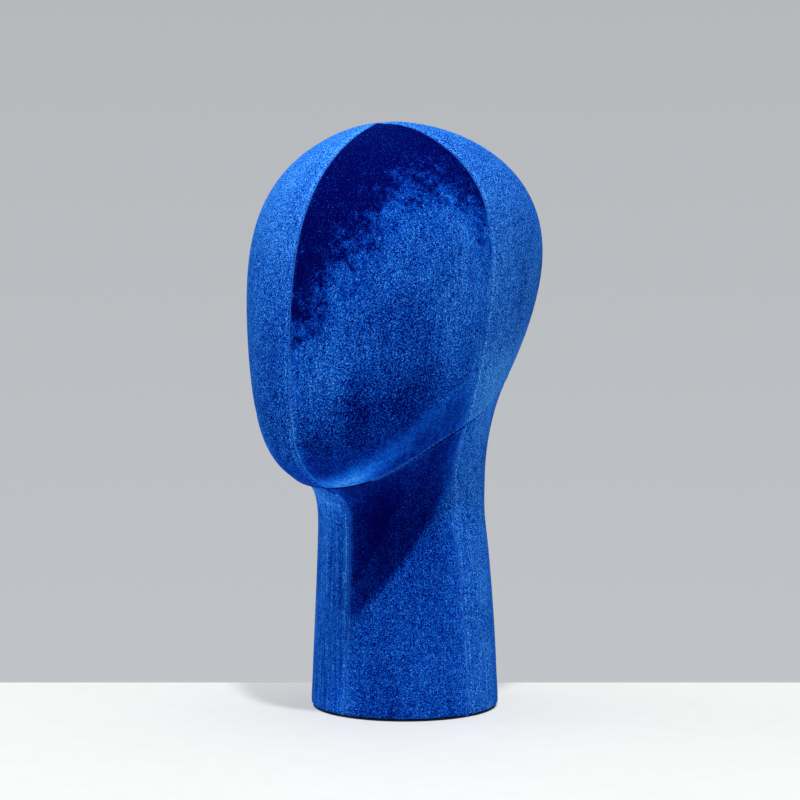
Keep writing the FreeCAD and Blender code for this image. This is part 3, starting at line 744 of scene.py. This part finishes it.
# Each panel: its form, the levels of its rows, its two edges and the steps between their close rows.
FACE = (head_form, HEAD_LEVELS, (middle_front, side_turn), 34)
BACK = (head_form, HEAD_LEVELS, (side_turn, middle_back), 36)
THROAT = (neck_form, NECK_LEVELS, (middle_front, neck_side_bearing), 30)
NAPE = (neck_form, NECK_LEVELS, (neck_side_bearing, middle_back), 30)
for name, node, where, pile_of, comb, phase, mirrored in (
    ("velvet_face_left", "face_cover_left", FACE, face_left_pile, 0.25, 0.3, False),
    ("velvet_face_right", "face_cover_right", FACE, face_right_pile, 0.20, 1.9, True),
    ("velvet_back_left", "back_cover_left", BACK, back_pile, 0.25, 3.1, False),
    ("velvet_back_right", "back_cover_right", BACK, back_pile, 0.25, 4.4, True),
    ("velvet_neck_front_left", "neck_cover_front_left", THROAT, neck_near_pile, 0.15, 0.8, False),
    ("velvet_neck_front_right", "neck_cover_front_right", THROAT, neck_far_pile, 0.75, 2.2, True),
    ("velvet_neck_back_left", "neck_cover_back_left", NAPE, neck_back_pile, 0.30, 3.7, False),
    ("velvet_neck_back_right", "neck_cover_back_right", NAPE, neck_back_pile, 0.30, 5.2, True),
):
    build_panel(name, node, where, pile_of, comb, phase, mirrored)


# ------------------------------------------------------------------ seam threads and the crown tack

THREAD = thread_material()
THREAD_RADIUS = 0.36 * MM
THREAD_SINK = 0.85 * MM   # how deep the thread lies between two stitches
THREAD_RISE = 0.25 * MM   # and how far it rises in the middle of one
STITCH = 3.2 * MM
THREAD_SIDES = 8


def seam_thread(name, node, path, outward, mirrored=False):
    """A row of stitches along a seam: a cord that swells and sinks once in every stitch."""
    along = run_along(path)
    steps = np.arange(0, along[-1], STITCH / 6)
    path = np.stack([np.interp(steps, along, path[:, k]) for k in range(3)], axis=1)
    outward = np.stack([np.interp(steps, along, outward[:, k]) for k in range(3)], axis=1)
    tangent = np.gradient(path, axis=0)
    tangent /= np.linalg.norm(tangent, axis=1)[:, None]
    outward -= np.sum(outward * tangent, axis=1)[:, None] * tangent
    outward /= np.linalg.norm(outward, axis=1)[:, None]
    across = np.cross(tangent, outward)
    wave = np.abs(np.sin(math.pi * steps / STITCH))
    radius = THREAD_RADIUS * (0.75 + 0.35 * wave)
    middle = path - outward * (THREAD_SINK - THREAD_RISE * wave)[:, None]
    turns = np.linspace(0, 2 * math.pi, THREAD_SIDES, endpoint=False)
    circle = np.cos(turns)[:, None] * outward[:, None] + np.sin(turns)[:, None] * across[:, None]
    points = (middle[:, None] + radius[:, None, None] * circle).reshape(-1, 3)
    if mirrored:
        points = points * (-1, 1, 1)
    faces = []
    for i in range(len(steps) - 1):
        for j in range(THREAD_SIDES):
            a, b = i * THREAD_SIDES + j, i * THREAD_SIDES + (j + 1) % THREAD_SIDES
            faces.append((a, b, b + THREAD_SIDES, a + THREAD_SIDES))
    faces += [tuple(range(THREAD_SIDES)), tuple(range(len(points) - THREAD_SIDES, len(points)))]
    piece = mesh_piece(name, points, faces, THREAD)
    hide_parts(node)
    return piece


def from_inside(points):
    return (points - INSIDE) / np.linalg.norm(points - INSIDE, axis=1)[:, None]


def from_axis(points):
    level = (points - (0, AXIS_Y, 0)) * (1, 1, 0)
    return level / np.linalg.norm(level, axis=1)[:, None]


def add_threads():
    falls = np.linspace(0.004, 0.996, 300)
    for name, node, turns, mirrored in (
        ("thread_face", "face_seam_thread", 0 * falls, False),
        ("thread_back", "back_seam_thread", 0 * falls + 180, False),
        ("thread_side_left", "side_seam_thread_left", side_turn(falls), False),
        ("thread_side_right", "side_seam_thread_right", side_turn(falls), True),
    ):
        path = head_form(falls, turns)
        seam_thread(name, node, path, from_inside(path), mirrored)
    climbs = np.linspace(-0.9, 0.99, 200)
    for name, node, bearings, mirrored in (
        ("thread_neck_front", "neck_front_seam_thread", 0 * climbs, False),
        ("thread_neck_back", "neck_back_seam_thread", 0 * climbs + 180, False),
        ("thread_neck_side_left", "neck_side_seam_thread_left", neck_side_bearing(climbs), False),
        ("thread_neck_side_right", "neck_side_seam_thread_right", neck_side_bearing(climbs), True),
    ):
        path = neck_form(climbs, bearings)
        seam_thread(name, node, path, from_axis(path), mirrored)
    path = head_form(np.ones(300), np.linspace(0, 180, 300))
    outward = from_inside(path) + from_axis(path)
    seam_thread("thread_jaw_left", "jaw_seam_thread_left", path, outward)
    seam_thread("thread_jaw_right", "jaw_seam_thread_right", path, outward, mirrored=True)


def add_crown_tack():
    """The bar tack that closes the point where the four head seams meet: a low ribbed dome."""
    low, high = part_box("crown_tack")
    radius = (high.x - low.x) / 2
    top = INSIDE + POLE * (HEAD[0].mean() + 0.25 * MM)
    side = np.cross(POLE, LEFT)
    points, faces = [top], []
    rings, around = 7, 48
    for ring in range(1, rings + 1):
        share = ring / rings
        for step in range(around):
            turn = 2 * math.pi * step / around
            rib = 0.10 * MM * math.cos(12 * turn) * math.sin(math.pi * share)
            sink = 1.5 * MM * (1 - math.sqrt(1 - 0.98 * share ** 2))
            level = math.cos(turn) * LEFT + math.sin(turn) * side
            points.append(top + level * radius * share + POLE * (rib - sink))
    for step in range(around):
        after = (step + 1) % around
        faces.append((0, 1 + step, 1 + after))
        for ring in range(rings - 1):
            a, b = 1 + ring * around + step, 1 + ring * around + after
            faces.append((a, a + around, b + around, b))
    faces.append(tuple(range(len(points) - 1, len(points) - around - 1, -1)))
    tack = mesh_piece("tack_crown", points, faces, THREAD)
    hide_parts("crown_tack")


add_threads()
add_crown_tack()


# ------------------------------------------------------------------ the stage

VIEW_TURN = math.radians(38.5)
VIEW_TILT = math.radians(-2.253)
CAMERA_AT = (0.7657, -0.9670, 0.2381)
VIEW_AHEAD = Vector((-math.sin(VIEW_TURN), math.cos(VIEW_TURN), 0))
VIEW_RIGHT = Vector((math.cos(VIEW_TURN), math.sin(VIEW_TURN), 0))


def in_view(right, ahead, up):
    """A place given to the right of, beyond and above the middle of the base, as the camera sees it."""
    return VIEW_RIGHT * right + VIEW_AHEAD * ahead + Vector((0, 0, up))


AMBIENT = 0.2  # how much of the wall's brightness lights the object


def add_table():
    """The pale table top; its faint glow stands in for the light that a white studio bounces back."""
    made, tree, shader = material("table_paint", Roughness=0.55, Emission_Color=(1.0, 1.0, 0.985, 1),
                                  Emission_Strength=0.39)
    speckle = noise(tree, place(tree), 60, detail=3)
    tree.links.new(ramp(tree, speckle, ((0.3, (0.48, 0.49, 0.484)), (0.7, (0.50, 0.51, 0.504)))),
                   shader.inputs["Base Color"])
    mesh = bpy.data.meshes.new("table")
    corners = [in_view(right, ahead, up) for up in (0, -0.03)
               for right, ahead in ((-2, -2), (2, -2), (2, 0.072), (-2, 0.072))]
    sides = [(0, 4, 5, 1), (1, 5, 6, 2), (2, 6, 7, 3), (3, 7, 4, 0)]
    mesh.from_pydata(corners, [], [(0, 1, 2, 3), (7, 6, 5, 4)] + sides)
    mesh.materials.append(made)
    table = bpy.data.objects.new("table", mesh)
    bpy.context.scene.collection.objects.link(table)


def add_light(name, place_at, size_x, size_y, power):
    """A soft light that faces the middle of the object."""
    data = bpy.data.lights.new(name, "AREA")
    data.shape = "RECTANGLE"
    data.size, data.size_y, data.energy = size_x, size_y, power
    light = bpy.data.objects.new(name, data)
    light.location = place_at
    light.rotation_euler = (Vector((0, 0, 0.19)) - place_at).to_track_quat("-Z", "Y").to_euler()
    bpy.context.scene.collection.objects.link(light)


def add_world():
    """A pale grey studio wall that the camera sees, and a dimmer light from all round."""
    world = bpy.data.worlds.new("studio")
    world.use_nodes = True
    tree = world.node_tree
    up = tree.nodes.new("ShaderNodeSeparateXYZ")
    tree.links.new(tree.nodes.new("ShaderNodeTexCoord").outputs["Generated"], up.inputs[0])
    share = calc(tree, "MULTIPLY_ADD", up.outputs["Z"], 2.5, 0.5)
    colour = ramp(tree, share, ((0.0, (0.53, 0.55, 0.575)), (1.0, (0.46, 0.475, 0.495))))
    wall = tree.nodes["Background"]
    tree.links.new(colour, wall.inputs["Color"])
    seen = tree.nodes.new("ShaderNodeLightPath").outputs["Is Camera Ray"]
    tree.links.new(calc(tree, "MULTIPLY_ADD", seen, 1 - AMBIENT, AMBIENT), wall.inputs["Strength"])
    bpy.context.scene.world = world


def add_camera():
    data = bpy.data.cameras.new("camera")
    data.lens = 89.50
    data.shift_x = -0.0004
    data.clip_start, data.clip_end = 0.05, 50
    camera = bpy.data.objects.new("camera", data)
    camera.location = CAMERA_AT
    ahead = VIEW_AHEAD * math.cos(VIEW_TILT) + Vector((0, 0, math.sin(VIEW_TILT)))
    camera.rotation_euler = ahead.to_track_quat("-Z", "Y").to_euler()
    bpy.context.scene.collection.objects.link(camera)
    bpy.context.scene.camera = camera


add_table()
add_world()
add_light("key", in_view(0.03, -0.90, 2.2), 0.14, 0.14, 36)
add_light("top", in_view(0.0, 0.1, 2.4), 2.0, 2.0, 27)
add_light("right", in_view(1.6, 0.25, 0.8), 1.6, 1.6, 4.5)
add_light("left", in_view(-1.6, 0.25, 0.8), 1.0, 1.2, 7.5)
add_camera()
bpy.context.scene.view_settings.view_transform = "Standard"
